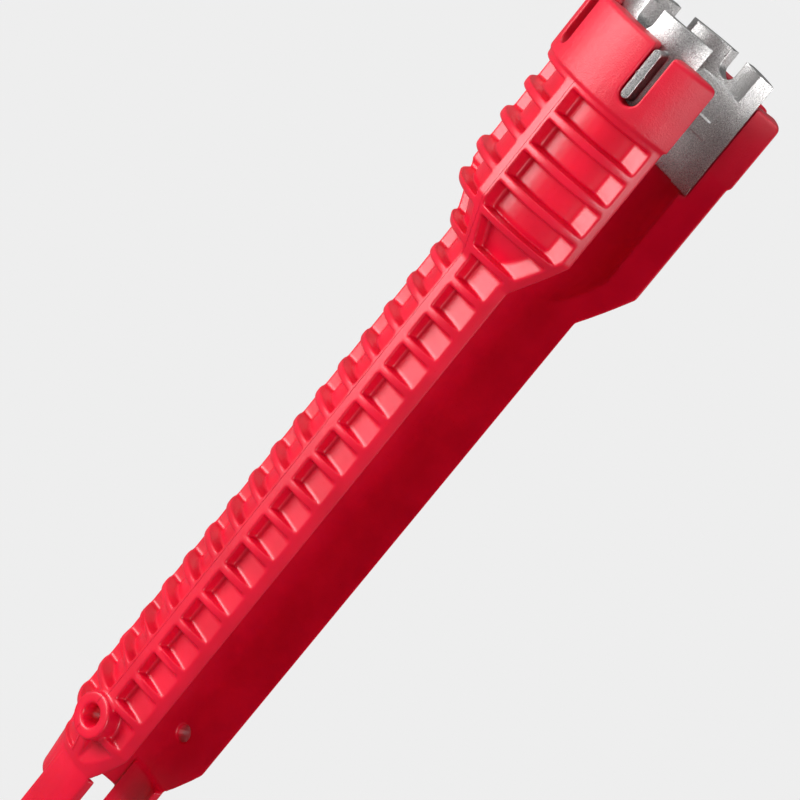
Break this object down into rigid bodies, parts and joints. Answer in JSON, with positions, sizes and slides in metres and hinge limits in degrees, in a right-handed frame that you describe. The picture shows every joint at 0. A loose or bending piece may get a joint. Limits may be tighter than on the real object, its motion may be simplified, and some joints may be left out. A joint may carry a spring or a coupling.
{
  "type": "basin wrench",
  "caption": "Slotted channel wrench body with a ribbed grip, a notched head holding a slide-out cast insert, and a socket insert held between two end prongs.",
  "frame": {"origin": "on the turning axis, at the mouth of the end insert's round socket", "axes": "+Z along the turning axis towards the head, -Y out of the long slot, +X along the turning-bar hole"},
  "size_m": [0.0536, 0.0498, 0.2828],
  "materials": {
    "body_plastic": "semi-gloss moulded red plastic, finely textured on the head band",
    "head_casting": "grainy as-cast, lightly blasted",
    "end_casting": "grainy as-cast, lightly blasted"
  },
  "bodies": {
    "body": {"body": "body_plastic"},
    "head_insert": {"head_insert": "head_casting"},
    "end_insert": {"end_insert": "end_casting"}
  },
  "joints": [
    {"name": "head_insert_slide", "type": "slide", "parent": "body", "child": "head_insert", "axis": [0, 0, 1], "range_m": [0, 0.034]},
    {"name": "end_insert_slide", "type": "slide", "parent": "body", "child": "end_insert", "axis": [0, 0, -1], "range_m": [0, 0.025]}
  ]
}
